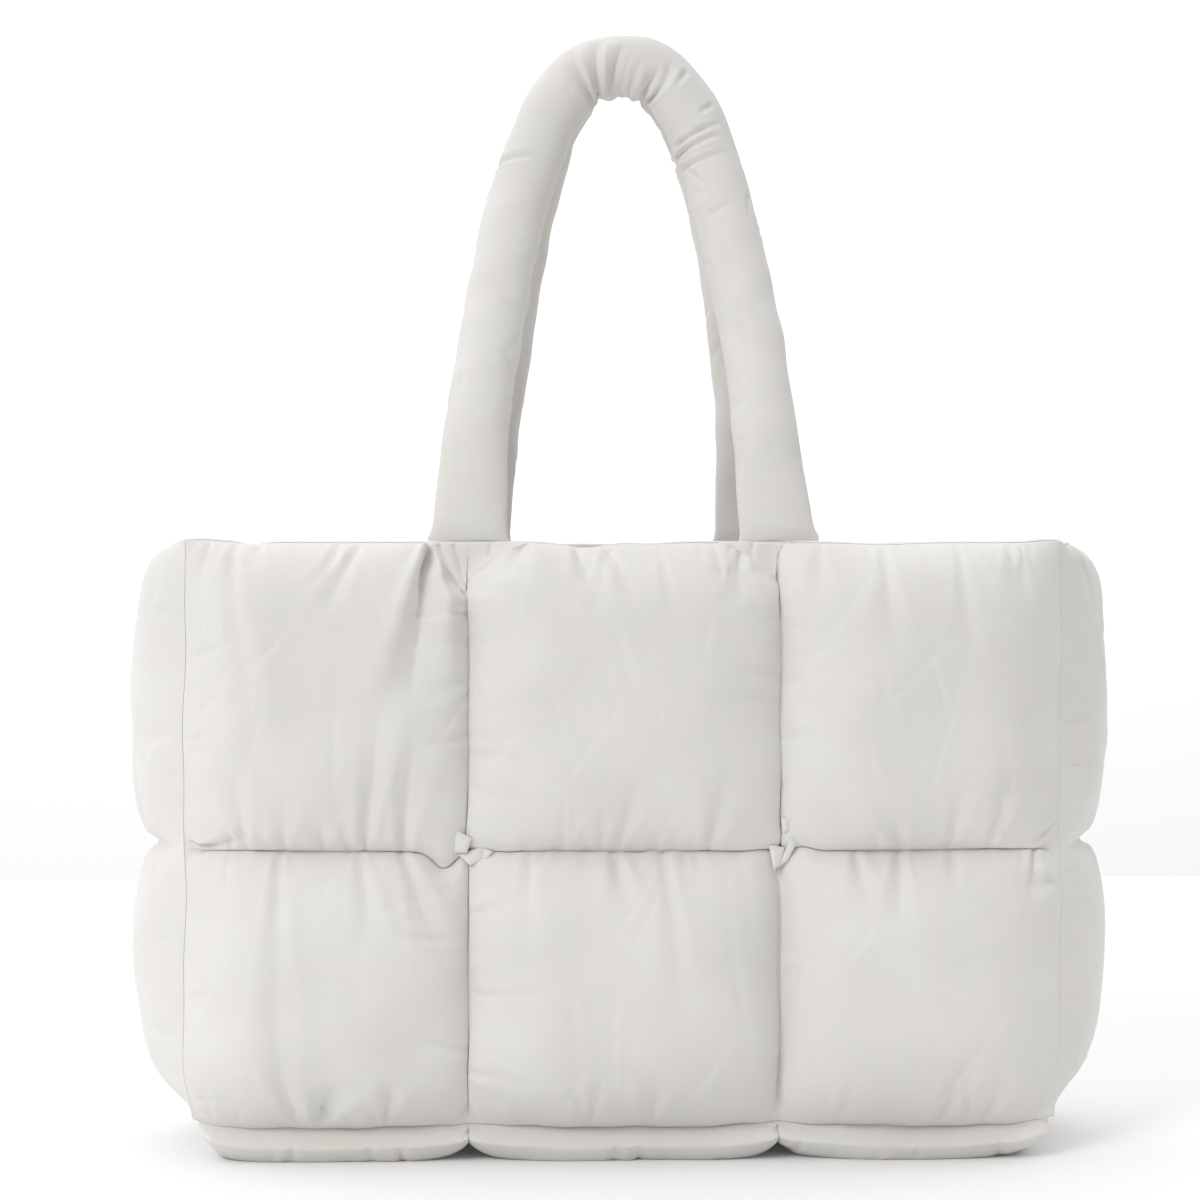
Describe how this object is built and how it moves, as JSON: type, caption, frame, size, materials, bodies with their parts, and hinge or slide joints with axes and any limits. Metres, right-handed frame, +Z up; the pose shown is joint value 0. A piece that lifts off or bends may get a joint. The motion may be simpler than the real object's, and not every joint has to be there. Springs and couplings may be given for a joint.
{
  "type": "puffer tote bag",
  "caption": "Open-topped quilted tote bag with puffed square chambers, boxed sides and base, and padded arched handles that lean together at the top.",
  "frame": {"origin": "on the floor under the middle of the bag", "axes": "+Z up, the front of the bag faces -Y, and +X runs to the right as seen from the front"},
  "size_m": [0.471, 0.1974, 0.5328],
  "materials": {
    "quilted_cotton": "matte off-white cotton, quilted over soft wadding",
    "handle_cotton": "matte off-white cotton, rolled round soft wadding"
  },
  "bodies": {
    "root": {"front_panel": "quilted_cotton", "back_panel": "quilted_cotton", "left_gusset": "quilted_cotton", "right_gusset": "quilted_cotton", "bottom_panel": "quilted_cotton", "front_handle": "handle_cotton", "back_handle": "handle_cotton"}
  },
  "joints": []
}
